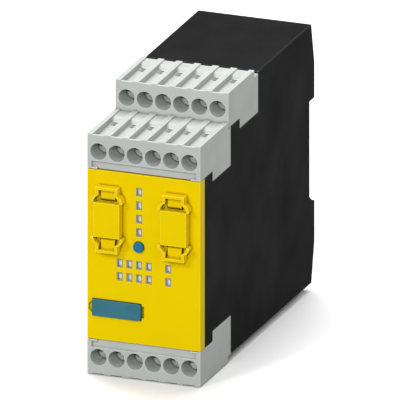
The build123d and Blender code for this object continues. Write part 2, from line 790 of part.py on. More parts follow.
def make_interface_cover(cover_x):
    """Snap-in cap: a raised block between two bow-shaped grips, each framing a latch tongue."""
    with BuildPart() as cover:
        with BuildSketch(Plane.XZ.offset(-front_y)):
            with Locations((cover_x, interface_z)):
                Rectangle(cover_block_width, cover_block_height)
        extrude(amount=cover_proud)
        with BuildSketch(Plane.XZ.offset(-front_y)):
            with Locations((cover_x, interface_z)):
                Rectangle(interface_opening_width - 2 * seat_gap, cover_plug_height)
        extrude(amount=-cover_plug_depth)

        for side in (-1, 1):
            # The grip stands on a thin web, which also carries the tongue
            grip = Plane(
                origin=(cover_x, front_y, interface_z),
                x_dir=(side, 0, 0),
                z_dir=(0, -1, 0),
            )
            with BuildSketch(grip):
                with BuildLine():
                    shoulder = ThreePointArc(
                        (bow_half_width, bow_shoulder),
                        (bow_half_width + bow_bulge, bow_shoulder - bow_bulge_drop),
                        (bow_tip_half_width, bow_tip + bow_tip_round),
                    )
                    Line(shoulder @ 1, (bow_tip_half_width - bow_wall, bow_tip))
                    ThreePointArc(
                        (bow_tip_half_width - bow_wall, bow_tip),
                        (bow_half_width + bow_hollow, bow_shoulder - bow_hollow_drop),
                        (bow_half_width - bow_wall, bow_shoulder - bow_tip_round),
                    )
                    Polyline(
                        (bow_half_width - bow_wall, bow_shoulder - bow_tip_round),
                        (bow_half_width - bow_wall, bow_opening),
                        (0, bow_opening),
                    )
                    Polyline((0, bow_top), (bow_half_width, bow_top), (bow_half_width, bow_shoulder))
                    mirror(about=Plane.YZ)
                make_face()
            extrude(amount=cover_proud)
            with BuildSketch(grip):
                with BuildLine():
                    Polyline(
                        (-cover_block_width / 2, cover_block_height / 2),
                        (web_inset - bow_half_width, bow_shoulder - bow_tip_round),
                        (web_inset - bow_half_width, bow_top - web_inset),
                        (bow_half_width - web_inset, bow_top - web_inset),
                        (bow_half_width - web_inset, bow_shoulder - bow_tip_round),
                        (cover_block_width / 2, cover_block_height / 2),
                        close=True,
                    )
                make_face()
            extrude(amount=web_thickness)
            with BuildSketch(grip):
                with Locations((0, (cover_block_height / 2 + bow_opening) / 2)):
                    Rectangle(
                        tongue_width + 2 * tongue_slot,
                        bow_opening - cover_block_height / 2 - web_inset,
                    )
            extrude(amount=web_thickness, mode=Mode.SUBTRACT)

            # Tongue with a chamfered end, and its hook behind the skin of the front cover
            with BuildSketch(Plane.YZ.offset(cover_x)):
                with BuildLine():
                    end = cover_block_height / 2 + tongue_gap
                    catch = interface_opening_height / 2
                    tongue_y = front_y - web_thickness - tongue_rise
                    Polyline(
                        (front_y, interface_z + side * bow_opening),
                        (tongue_y, interface_z + side * bow_opening),
                        (tongue_y, interface_z + side * (end + tongue_chamfer)),
                        (tongue_y + tongue_chamfer, interface_z + side * end),
                        (front_y, interface_z + side * end),
                        (front_y, interface_z + side * (catch - latch_foot)),
                        (front_y + cover_plug_depth, interface_z + side * (catch - latch_foot)),
                        (front_y + cover_plug_depth, interface_z + side * (catch - seat_gap)),
                        (cap_inner_y + seat_gap, interface_z + side * (catch - seat_gap + latch_catch)),
                        (cap_inner_y + seat_gap, interface_z + side * (catch - seat_gap)),
                        (front_y, interface_z + side * (catch - seat_gap)),
                        close=True,
                    )
                make_face()
            extrude(amount=tongue_width / 2, both=True)
    return cover.part


def make_interface_socket(cover_x):
    """Black socket shell on the front board, open towards the cover."""
    with BuildPart() as socket:
        with BuildSketch(Plane.XZ.offset(-(front_y + front_board_y))):
            with Locations((cover_x, interface_z)):
                Rectangle(socket_width + 2 * socket_side_wall, socket_length + 2 * socket_end_wall)
        extrude(amount=front_board_y - cover_plug_depth - socket_gap)
        with BuildSketch(Plane.XZ.offset(-(front_y + front_board_y - socket_floor))):
            with Locations((cover_x, interface_z)):
                Rectangle(socket_width, socket_length)
        extrude(amount=front_board_y, mode=Mode.SUBTRACT)
    return socket.part


def make_interface_contacts(cover_x):
    """Two rows of contact pins that stand on the floor of the socket."""
    with BuildPart() as contacts:
        with BuildSketch(Plane.XZ.offset(-(front_y + front_board_y - socket_floor))):
            with Locations((cover_x, interface_z)):
                with GridLocations(contact_row_gap, contact_pitch, 2, 5):
                    Rectangle(contact_size, contact_size)
        extrude(amount=contact_length)
    return contacts.part


for side_name, cover_x in zip(("left", "right"), interface_x):
    pieces = {
        "interface_cover_": make_interface_cover(cover_x),
        "interface_socket_": make_interface_socket(cover_x),
        "interface_contacts_": make_interface_contacts(cover_x),
    }
    for piece_name, piece in pieces.items():
        piece.label = piece_name + side_name
        export_step(piece, f"parts/{piece_name}{side_name}.step")


# Label plate: clipped into its pocket, with its two right-hand corners cut off
with BuildPart() as label_plate:
    with BuildSketch(Plane.XZ.offset(-(front_y + label_pocket_depth))):
        with Locations((label_x, label_z)):
            Rectangle(label_width, label_height)
    extrude(amount=label_pocket_depth + label_proud)
    chamfer(label_plate.edges().filter_by(Axis.Y).group_by(Axis.X)[-1], length=label_corner)
    chamfer(label_plate.faces().sort_by(Axis.Y)[0].edges(), length=label_edge)
    with BuildSketch(Plane.XZ.offset(-(front_y + label_pocket_depth))):
        with Locations(*label_clips):
            Rectangle(label_clip_width - 2 * seat_gap, label_clip_height - 2 * seat_gap)
    extrude(amount=-(cap_skin - label_pocket_depth + label_clip_end))

label_plate.part.label = "label_plate"
export_step(label_plate.part, "parts/label_plate.step")


# Reset button, its switch plunger and the switch
flange_y = cap_inner_y + slide_gap
stem_end_y = flange_y + button_flange_thickness + button_stem_length
switch_face_y = front_y + front_board_y - switch_height

with BuildPart() as reset_button:
    with BuildSketch(Plane.XZ.offset(-flange_y)):
        with Locations((button_x, button_z)):
            Circle(button_radius)
    extrude(amount=flange_y - front_y + button_proud)
    fillet(reset_button.faces().sort_by(Axis.Y)[0].edges(), radius=button_edge_radius)
    with BuildSketch(Plane.XZ.offset(-flange_y)):
        with Locations((button_x, button_z)):
            Circle(button_flange_radius)
    extrude(amount=-button_flange_thickness)
    with BuildSketch(Plane.XZ.offset(-flange_y)):
        with Locations((button_x, button_z)):
            Circle(button_stem_radius)
    extrude(amount=-(stem_end_y - flange_y))

reset_button.part.label = "reset_button"
export_step(reset_button.part, "parts/reset_button.step")

with BuildPart() as switch_plunger:
    with BuildSketch(Plane.XZ.offset(-stem_end_y)):
        with Locations((button_x, button_z)):
            Circle(plunger_radius)
    extrude(amount=-plunger_length)

switch_plunger.part.label = "switch_plunger"
export_step(switch_plunger.part, "parts/switch_plunger.step")

with BuildPart() as reset_switch:
    with BuildSketch(Plane.XZ.offset(-switch_face_y)):
        with Locations((button_x, button_z)):
            Rectangle(switch_size, switch_size)
    extrude(amount=-switch_height)
    chamfer(reset_switch.edges().filter_by(Axis.Y), length=switch_corner)
    with BuildSketch(Plane.XZ.offset(-switch_face_y)):
        with Locations((button_x, button_z)):
            Circle(plunger_radius + button_gap)
    bore_depth = stem_end_y + plunger_length + button_travel + slide_gap - switch_face_y
    extrude(amount=-bore_depth, mode=Mode.SUBTRACT)

reset_switch.part.label = "reset_switch"
export_step(reset_switch.part, "parts/reset_switch.step")


# Light guides: milky pipes with a pocket in each face, joined by a plate that stands on the front board
guide_front_y = front_y + guide_recess
plate_y = front_y + guide_plate_y
pocket_width = window_width - 2 * seat_gap - 2 * guide_rim
pocket_height = window_height - 2 * seat_gap - 2 * guide_rim
led_face_y = front_y + front_board_y - led_height
column_middle_z = (window_column_z[0] + window_column_z[-1]) / 2
column_plate_height = window_column_z[-1] - window_column_z[0] + 2 * guide_plate_end
column_plate_width = window_width + 2 * guide_plate_margin
rows_middle_x = (window_row_x[0] + window_row_x[-1]) / 2
rows_middle_z = sum(window_row_z) / 2
rows_plate_width = window_row_x[-1] - window_row_x[0] + column_plate_width
rows_plate_height = window_row_rise + 2 * guide_plate_end

with BuildPart() as light_guide_column:
    with BuildSketch(Plane.XZ.offset(-guide_front_y)):
        with Locations(*[(window_column_x, z) for z in window_column_z]):
            Rectangle(window_width - 2 * seat_gap, window_height - 2 * seat_gap)
    extrude(amount=-(led_face_y - slide_gap - guide_front_y))
    with BuildSketch(Plane.XZ.offset(-guide_front_y)):
        with Locations(*[(window_column_x, z) for z in window_column_z]):
            Rectangle(pocket_width, pocket_height)
    extrude(amount=-guide_pocket_depth, mode=Mode.SUBTRACT)
    with BuildSketch(Plane.XZ.offset(-plate_y)):
        with Locations((window_column_x, column_middle_z)):
            Rectangle(column_plate_width, column_plate_height)
    extrude(amount=-guide_plate_thickness)
    with BuildSketch(Plane.XZ.offset(-plate_y)):
        with Locations(
            (window_column_x, column_middle_z - window_column_pitch),
            (window_column_x, column_middle_z + window_column_pitch),
        ):
            Circle(guide_leg_radius)
    extrude(amount=-(front_board_y - guide_plate_y))

light_guide_column.part.label = "light_guide_column"
export_step(light_guide_column.part, "parts/light_guide_column.step")

with BuildPart() as light_guide_rows:
    with BuildSketch(Plane.XZ.offset(-guide_front_y)):
        with Locations(*[(x, z) for x in window_row_x for z in window_row_z]):
            Rectangle(window_width - 2 * seat_gap, window_height - 2 * seat_gap)
    extrude(amount=-(led_face_y - slide_gap - guide_front_y))
    with BuildSketch(Plane.XZ.offset(-guide_front_y)):
        with Locations(*[(x, z) for x in window_row_x for z in window_row_z]):
            Rectangle(pocket_width, pocket_height)
    extrude(amount=-guide_pocket_depth, mode=Mode.SUBTRACT)
    with BuildSketch(Plane.XZ.offset(-plate_y)):
        with Locations((rows_middle_x, rows_middle_z)):
            Rectangle(rows_plate_width, rows_plate_height)
    extrude(amount=-guide_plate_thickness)
    with BuildSketch(Plane.XZ.offset(-plate_y)):
        with Locations((window_row_x[0], rows_middle_z), (window_row_x[-1], rows_middle_z)):
            Circle(guide_leg_radius)
    extrude(amount=-(front_board_y - guide_plate_y))

light_guide_rows.part.label = "light_guide_rows"
export_step(light_guide_rows.part, "parts/light_guide_rows.step")

with BuildPart() as indicator_leds:
    with BuildSketch(Plane.XZ.offset(-led_face_y)):
        with Locations(*[(window_column_x, z) for z in window_column_z]):
            Rectangle(led_width, led_length)
        with Locations(*[(x, z) for x in window_row_x for z in window_row_z]):
            Rectangle(led_width, led_length)
    extrude(amount=-led_height)

indicator_leds.part.label = "indicator_leds"
export_step(indicator_leds.part, "parts/indicator_leds.step")


# Boards that stand parallel to the front
header_z = front_block_top - header_drop
rear_header_z = rear_block_top - header_drop

with BuildPart() as front_board:
    with BuildSketch(Plane.XZ.offset(-(front_y + front_board_y))):
        with Locations((0, middle_z)):
            Rectangle(2 * (inner_half_width - board_edge_gap), front_board_height)
    extrude(amount=-board_thickness)

front_board.part.label = "front_board"
export_step(front_board.part, "parts/front_board.step")

with BuildPart() as front_terminal_board:
    with BuildSketch(Plane.XZ.offset(-terminal_board_y)):
        with Locations((0, (board_bottom_z + side_board_step_z) / 2)):
            Rectangle(2 * (inner_half_width - board_edge_gap), side_board_step_z - board_bottom_z)
        with Locations(*[(x, z) for x in pole_x for z in (header_z, front_block_top - header_z)]):
            Rectangle(pin_size + 2 * seat_gap, pin_size + 2 * seat_gap, mode=Mode.SUBTRACT)
    extrude(amount=-board_thickness)

front_terminal_board.part.label = "front_terminal_board"
export_step(front_terminal_board.part, "parts/front_terminal_board.step")

with BuildPart() as rear_terminal_board:
    with BuildSketch(Plane.XZ.offset(-rear_terminal_board_y)):
        with Locations((0, (rear_board_bottom_z + board_top_z) / 2)):
            Rectangle(2 * (inner_half_width - board_edge_gap), board_top_z - rear_board_bottom_z)
        with Locations(*[(x, rear_header_z) for x in pole_x]):
            Rectangle(pin_size + 2 * seat_gap, pin_size + 2 * seat_gap, mode=Mode.SUBTRACT)
    extrude(amount=-board_thickness)

rear_terminal_board.part.label = "rear_terminal_board"
export_step(rear_terminal_board.part, "parts/rear_terminal_board.step")

with BuildPart() as link_board:
    with BuildSketch(Plane.XZ.offset(-(front_y + front_board_y + board_thickness))):
        with Locations((0, middle_z)):
            Rectangle(board_thickness, front_board_height - 2 * link_board_inset)
    extrude(amount=-(terminal_board_y - front_y - front_board_y - board_thickness))

link_board.part.label = "link_board"
export_step(link_board.part, "parts/link_board.step")


# Two upright boards in the guide ribs of the housing
side_board_outline = [
    (side_board_front_y, board_bottom_z),
    (side_board_back_y, board_bottom_z),
    (side_board_back_y, board_top_z),
    (side_board_upper_y, board_top_z),
    (side_board_upper_y, side_board_step_z),
    (side_board_front_y, side_board_step_z),
]

with BuildPart() as power_board:
    with BuildSketch(Plane.YZ.offset(side_board_x[0])):
        with BuildLine():
            Polyline(*side_board_outline, close=True)
        make_face()
    extrude(amount=board_thickness)

power_board.part.label = "power_board"
export_step(power_board.part, "parts/power_board.step")

with BuildPart() as logic_board:
    with BuildSketch(Plane.YZ.offset(side_board_x[1])):
        with BuildLine():
            Polyline(*side_board_outline, close=True)
        make_face()
    extrude(amount=board_thickness)

logic_board.part.label = "logic_board"
export_step(logic_board.part, "parts/logic_board.step")

# Connectors between the boards: strips that lie in the corner where two boards meet
power_face_x = side_board_x[0] + board_thickness
logic_face_x = side_board_x[1]
connector_x = [power_face_x + connector_width / 2, logic_face_x - connector_width / 2]
rear_connector_z = rear_header_z + rear_connector_rise

with BuildPart() as board_connectors:
    with BuildSketch(Plane.XZ.offset(-(terminal_board_y + board_thickness))):
        with Locations((connector_x[0], middle_z), (connector_x[1], middle_z)):
            Rectangle(connector_width, connector_length)
    extrude(amount=-connector_depth)
    with BuildSketch(Plane.XZ.offset(-(rear_terminal_board_y + board_thickness))):
        with Locations((connector_x[0], rear_connector_z), (connector_x[1], rear_connector_z)):
            Rectangle(connector_width, rear_connector_length)
    extrude(amount=-connector_depth)

board_connectors.part.label = "board_connectors"
export_step(board_connectors.part, "parts/board_connectors.step")


# Parts on the power board, standing off its inner face
relay_y = side_board_front_y + relay_inset + relay_length / 2
relay_z = [board_bottom_z + (n + 2 / 3) * relay_pitch for n in range(2)]

with BuildPart() as safety_relays:
    with BuildSketch(Plane.YZ.offset(power_face_x)):
        with Locations(*[(relay_y, z) for z in relay_z]):
            Rectangle(relay_length, relay_width)
    extrude(amount=relay_height)
    chamfer(safety_relays.edges().filter_by(Axis.X), length=relay_corner)

safety_relays.part.label = "safety_relays"
export_step(safety_relays.part, "parts/safety_relays.step")

core_y = side_board_back_y - core_length - 2 * winding_corner
core_z = middle_z + winding_width
winding_x = power_face_x + winding_height / 2

with BuildPart() as converter_core:
    with BuildSketch(Plane.YZ.offset(winding_x - core_height / 2)):
        with Locations((core_y, core_z)):
            Rectangle(core_length, core_width)
        with Locations((core_y - core_leg, core_z), (core_y + core_leg, core_z)):
            Rectangle(core_window_length, core_window_width, mode=Mode.SUBTRACT)
    extrude(amount=core_height)

converter_core.part.label = "converter_core"
export_step(converter_core.part, "parts/converter_core.step")

with BuildPart() as converter_winding:
    with BuildSketch(Plane.XY.offset(core_z - winding_length / 2)):
        with Locations((winding_x, core_y)):
            RectangleRounded(winding_height, winding_width, winding_corner)
            Rectangle(winding_hole_height, winding_hole_length, mode=Mode.SUBTRACT)
    extrude(amount=winding_length)

converter_winding.part.label = "converter_winding"
export_step(converter_winding.part, "parts/converter_winding.step")

capacitor_y = side_board_back_y - capacitor_radius - guide_rib_inset
capacitor_z = [board_bottom_z + (n + 2 / 3) * capacitor_pitch for n in range(3)]

with BuildPart() as filter_capacitors:
    with BuildSketch(Plane.YZ.offset(power_face_x)):
        with Locations(*[(capacitor_y, z) for z in capacitor_z]):
            Circle(capacitor_radius)
    extrude(amount=capacitor_height)
    fillet(filter_capacitors.edges().filter_by(GeomType.CIRCLE), radius=capacitor_edge)

filter_capacitors.part.label = "filter_capacitors"
export_step(filter_capacitors.part, "parts/filter_capacitors.step")

transistor_y = [side_board_back_y - transistor_inset - n * transistor_pitch for n in range(2)]
transistor_top_z = board_top_z - guide_rib_height - housing_wall
transistor_hole_z = transistor_top_z - (transistor_tab_height - transistor_body_height) / 2
transistor_body_z = transistor_top_z - transistor_tab_height + transistor_body_height / 2

with BuildPart() as output_transistors:
    with BuildSketch(Plane.YZ.offset(power_face_x)):
        with Locations(*[(y, transistor_top_z - transistor_tab_height / 2) for y in transistor_y]):
            Rectangle(transistor_width, transistor_tab_height)
    extrude(amount=transistor_tab_thickness)
    with BuildSketch(Plane.YZ.offset(power_face_x)):
        with Locations(*[(y, transistor_body_z) for y in transistor_y]):
            Rectangle(transistor_width, transistor_body_height)
    extrude(amount=transistor_thickness)
    with BuildSketch(Plane.YZ.offset(power_face_x)):
        with Locations(*[(y, transistor_hole_z) for y in transistor_y]):
            Circle(transistor_hole_radius)
    extrude(amount=transistor_tab_thickness, mode=Mode.SUBTRACT)

output_transistors.part.label = "output_transistors"
export_step(output_transistors.part, "parts/output_transistors.step")


# Parts on the logic board: two processors that watch each other, and their crystals
processor_y = side_board_front_y + relay_inset + relay_length / 2
processor_z = [middle_z - processor_pitch / 2, middle_z + processor_pitch / 2]
crystal_y = processor_y + processor_lead_span / 2 + crystal_length

with BuildPart() as processors:
    with BuildSketch(Plane.YZ.offset(logic_face_x)):
        with Locations(*[(processor_y, z) for z in processor_z]):
            Rectangle(processor_lead_span, processor_lead_span)
    extrude(amount=-processor_lead_height)
    with BuildSketch(Plane.YZ.offset(logic_face_x)):
        with Locations(*[(processor_y, z) for z in processor_z]):
            Rectangle(processor_size, processor_size)
    extrude(amount=-processor_height)
    chamfer(processors.edges().filter_by(Axis.X), length=processor_corner)

processors.part.label = "processors"
export_step(processors.part, "parts/processors.step")

with BuildPart() as clock_crystals:
    with BuildSketch(Plane.YZ.offset(logic_face_x)):
        with Locations(*[(crystal_y, z) for z in processor_z]):
            SlotOverall(crystal_length, crystal_width)
    extrude(amount=-crystal_height)

clock_crystals.part.label = "clock_crystals"
export_step(clock_crystals.part, "parts/clock_crystals.step")


# Rail latch: a flat slider with a hooked nose, pushed up by a coil spring in its window
latch_slot_bottom_z = spring_seat_z - spring_peg_height - slide_gap

with BuildPart() as rail_latch:
    with BuildSketch(Plane.YZ):
        with BuildLine():
            Polyline(
                (latch_y, latch_bottom_z),
                (latch_y + latch_thickness, latch_bottom_z),
                (latch_y + latch_thickness, latch_arm_z),
                (rail_back_y + latch_nose_thickness, latch_arm_z),
                (rail_back_y + latch_nose_thickness, latch_nose_z - latch_nose_slope),
                (rail_back_y, latch_nose_z),
                (rail_back_y, latch_arm_z + latch_arm_height),
                (latch_y, latch_arm_z + latch_arm_height),
                close=True,
            )
        make_face()
    extrude(amount=latch_width / 2, both=True)
    with BuildSketch(Plane.XZ.offset(-latch_y)):
        with Locations((0, (latch_slot_bottom_z + spring_top_z) / 2)):
            Rectangle(spring_slot_width, spring_top_z - latch_slot_bottom_z)
        with Locations((0, latch_tab_z)):
            Rectangle(latch_tab_width, latch_tab_height)
    extrude(amount=-latch_thickness, mode=Mode.SUBTRACT)

rail_latch.part.label = "rail_latch"
export_step(rail_latch.part, "parts/rail_latch.step")

spring_length = spring_top_z - spring_seat_z - 2 * seat_gap - 2 * spring_wire_radius
spring_base = (0, latch_y + latch_thickness / 2, spring_seat_z + seat_gap + spring_wire_radius)

with BuildPart() as latch_spring:
    with BuildLine():
        coil = Helix(
            pitch=spring_length / spring_turns,
            height=spring_length,
            radius=spring_radius,
            center=spring_base,
        )
    with BuildSketch(Plane(origin=coil @ 0, z_dir=coil % 0)):
        Circle(spring_wire_radius)
    sweep()

latch_spring.part.label = "latch_spring"
export_step(latch_spring.part, "parts/latch_spring.step")
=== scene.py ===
import json
from math import cos, pi, radians, sin

import bpy
from mathutils import Matrix, Vector

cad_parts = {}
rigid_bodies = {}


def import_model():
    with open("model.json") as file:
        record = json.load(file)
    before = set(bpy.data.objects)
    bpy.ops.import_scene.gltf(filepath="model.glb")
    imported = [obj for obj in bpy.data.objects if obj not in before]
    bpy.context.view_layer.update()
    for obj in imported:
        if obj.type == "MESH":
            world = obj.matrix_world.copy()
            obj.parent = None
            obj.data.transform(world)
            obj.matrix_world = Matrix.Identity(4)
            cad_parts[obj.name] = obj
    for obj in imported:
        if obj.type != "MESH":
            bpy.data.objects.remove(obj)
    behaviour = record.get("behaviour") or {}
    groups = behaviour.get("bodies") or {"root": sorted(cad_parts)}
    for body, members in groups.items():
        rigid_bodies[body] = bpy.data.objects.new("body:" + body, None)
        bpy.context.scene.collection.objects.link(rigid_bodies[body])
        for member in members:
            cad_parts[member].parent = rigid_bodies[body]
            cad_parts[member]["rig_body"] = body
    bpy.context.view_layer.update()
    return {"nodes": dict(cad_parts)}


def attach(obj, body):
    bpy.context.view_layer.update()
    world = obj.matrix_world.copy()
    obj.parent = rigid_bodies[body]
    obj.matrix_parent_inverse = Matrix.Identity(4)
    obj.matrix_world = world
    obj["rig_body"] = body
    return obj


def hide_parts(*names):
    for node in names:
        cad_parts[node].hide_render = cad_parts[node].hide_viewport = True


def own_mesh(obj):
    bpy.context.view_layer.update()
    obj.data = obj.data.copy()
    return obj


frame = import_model()


# Camera: the photograph is a parallel view from the front right and a little above.
# It shows the lower right front corner of the module at a known place, which fixes the aim.
mm = 0.001
view_turn = radians(20.705)
view_rise = radians(19.471)
picture_width = 400  # pixels
pixels_per_mm = 2.690
corner_left_of_middle = 0.3  # pixels
corner_below_middle = 187.6  # pixels
camera_distance = 0.8
right = Vector((cos(view_turn), sin(view_turn), 0))
up = Vector((-sin(view_turn) * sin(view_rise), cos(view_turn) * sin(view_rise), cos(view_rise)))
back = Vector((sin(view_turn) * cos(view_rise), -cos(view_turn) * cos(view_rise), sin(view_rise)))
front_corner = Vector((22.5, -58.3, 0)) * mm
aim = (
    front_corner
    - right * (corner_left_of_middle / pixels_per_mm * mm)
    + up * (corner_below_middle / pixels_per_mm * mm))

bpy.ops.object.select_all(action="DESELECT")
bpy.ops.object.camera_add(location=aim + back * camera_distance)
camera = bpy.context.object
camera.name = "photo_camera"
camera.rotation_mode = "QUATERNION"
camera.rotation_quaternion = Matrix((right, up, back)).transposed().to_quaternion()
camera.data.type = "ORTHO"
camera.data.ortho_scale = picture_width / pixels_per_mm * mm
camera.data.clip_start = 0.01
camera.data.clip_end = 20
bpy.context.scene.camera = camera


# Floor and light: a sheet of matt white paper under an even white sky, with broad soft lamps.
# The tops catch most of the light, the front a little less, and the right side lies in half shade.
def linear(hex_colour):
    """The linear colour of an sRGB hex value."""
    channels = [int(hex_colour[i:i + 2], 16) / 255 for i in (1, 3, 5)]
    return (*[c / 12.92 if c <= 0.04045 else ((c + 0.055) / 1.055) ** 2.4 for c in channels], 1)


def add(tree, kind, inputs=None, **settings):
    """Adds a node with its settings; each input takes a number, a colour or another node's output.

    Where a node has several sockets of one name, its inputs go by number: a colour Mix has its
    factor at 0 and its two colours at 6 and 7.
    """
    node = tree.nodes.new(kind)
    for name, value in settings.items():
        setattr(node, name, value)
    for socket, value in (inputs or {}).items():
        if isinstance(value, bpy.types.NodeSocket):
            tree.links.new(value, node.inputs[socket])
        else:
            node.inputs[socket].default_value = value
    return node


def empty_material(name):
    """A new material with no nodes in it yet."""
    material = bpy.data.materials.new(name)
    material.use_nodes = True
    material.node_tree.nodes.clear()
    return material


def looked_at(tree):
    """1 where the camera sees a surface, straight, mirrored or through glass, and 0 for its soft light."""
    ray = add(tree, "ShaderNodeLightPath")
    seen = add(tree, "ShaderNodeMath", {
        0: ray.outputs["Is Camera Ray"], 1: ray.outputs["Is Glossy Ray"]}, operation="MAXIMUM")
    seen = add(tree, "ShaderNodeMath", {
        0: seen.outputs[0], 1: ray.outputs["Is Transmission Ray"]}, operation="MAXIMUM")
    return seen.outputs[0]


# Paper and sky look white, but throw less soft light than that on the module
floor_size = 6
floor_gap = 0.2 * mm  # below the module's underside
paper_as_seen = "#F6F6F6"
paper_as_lit = "#8F8F8F"
sky_as_seen = 1.0
sky_as_lit = 0.35
white_light = (1, 1, 1, 1)

bpy.ops.mesh.primitive_plane_add(size=floor_size, location=(0, 0, -floor_gap))
floor = bpy.context.object
floor.name = "studio_floor"
paper = empty_material("matt_white_paper")
tree = paper.node_tree
tone = add(tree, "ShaderNodeMix", {
    0: looked_at(tree), 6: linear(paper_as_lit), 7: linear(paper_as_seen)}, data_type="RGBA")
sheet = add(tree, "ShaderNodeBsdfDiffuse", {"Color": tone.outputs[2]})
add(tree, "ShaderNodeOutputMaterial", {"Surface": sheet.outputs[0]})
floor.data.materials.append(paper)

sky = bpy.data.worlds.new("even_white_sky")
bpy.context.scene.world = sky
bpy.context.scene.view_settings.view_transform = "Standard"
sky.use_nodes = True
tree = sky.node_tree
tree.nodes.clear()
seen = looked_at(tree)
dim = add(tree, "ShaderNodeBackground", {"Color": white_light, "Strength": sky_as_lit})
white = add(tree, "ShaderNodeBackground", {"Color": white_light, "Strength": sky_as_seen})
both = add(tree, "ShaderNodeMixShader", {0: seen, 1: dim.outputs[0], 2: white.outputs[0]})
add(tree, "ShaderNodeOutputWorld", {"Surface": both.outputs[0]})

# Each lamp: the way towards it from the module, its strength, and how many degrees wide it looks
lamps = {
    "key_lamp_front_left": ((-0.34, -0.72, 0.60), 0.9, 12),
    "front_lamp_above_the_camera": ((0.22, -0.87, 0.44), 1.4, 16),
    "broad_lamp_overhead": ((-0.12, 0.28, 1.0), 2.7, 34),
    "fill_lamp_right": ((1.0, -0.35, 0.35), 0.5, 60),
    "back_lamp_left": ((-0.82, 0.57, 0.05), 2.4, 25),
}
for lamp_name, (towards, strength, width) in lamps.items():
    bpy.ops.object.light_add(type="SUN", location=Vector(towards))
    lamp = bpy.context.object
    lamp.name = lamp_name
    lamp.data.energy = strength
    lamp.data.angle = radians(width)
    lamp.rotation_mode = "QUATERNION"
    lamp.rotation_quaternion = Vector(towards).to_track_quat("Z", "Y")


# Housing: one injection-moulded shell of black glass-filled polyamide, dull from its spark-eroded mould.
# It is open at the front, with a stepped bay for each terminal block and a recess for the rail behind.
# Ribs inside it guide the two upright boards, and its moulded corners are slightly round.
weld_distance = 0.001  # mm, within which corners of the CAD triangles are one corner
smooth_below = 24  # degrees, the most that two faces of one curve turn from each other
flat_face_weight = 90  # how far large flat faces rule the shading of the roundings beside them


def soften(node, corner, angle=35):
    """Stands a copy of a CAD node in its place, its edges sharper than angle rounded by corner mm."""
    source = frame["nodes"][node]
    bpy.ops.object.select_all(action="DESELECT")
    piece = bpy.data.objects.new(node + "_finished", source.data.copy())
    bpy.context.scene.collection.objects.link(piece)
    piece.select_set(True)
    bpy.context.view_layer.objects.active = piece
    bpy.ops.object.mode_set(mode="EDIT")
    bpy.ops.mesh.select_all(action="SELECT")
    bpy.ops.mesh.remove_doubles(threshold=weld_distance * mm)
    bpy.ops.object.mode_set(mode="OBJECT")
    bpy.ops.object.shade_smooth_by_angle(angle=radians(smooth_below))
    if corner:
        rounding = piece.modifiers.new("rounding", "BEVEL")
        rounding.width = corner * mm
        rounding.segments = 2
        rounding.limit_method = "ANGLE"
        rounding.angle_limit = radians(angle)
        rounding.use_clamp_overlap = False
        rounding.loop_slide = False
        rounding.harden_normals = True
        bpy.ops.object.modifier_apply(modifier=rounding.name)
        flat_faces = piece.modifiers.new("flat_faces", "WEIGHTED_NORMAL")
        flat_faces.weight = flat_face_weight
        flat_faces.keep_sharp = True
        bpy.ops.object.modifier_apply(modifier=flat_faces.name)
    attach(piece, source["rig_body"])
    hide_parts(node)
    return piece


def paint(piece, material):
    """Gives a piece its material in each of its slots; a piece without a slot gets one."""
    if not piece.material_slots:
        piece.data.materials.append(material)
    for place in piece.material_slots:
        place.material = material


plastic_ior = 1.53
gloss_spread = 0.07  # how far the roughness of rubbed patches parts from the plastic's own
patch_size = 2.2  # times the size of a cloud
fleck_heart, fleck_rim = 0.10, 0.26  # of the spacing: full within the first, gone past the second
fleck_share = 0.22  # the most that a fleck changes the colour
corner_shade_reach = 1.6  # mm, how far the painted shade of an inner corner spreads
edge_colour_share = 0.9  # the most that the edge colour, partly wear and partly painted light, changes the colour
shade_rays = 8


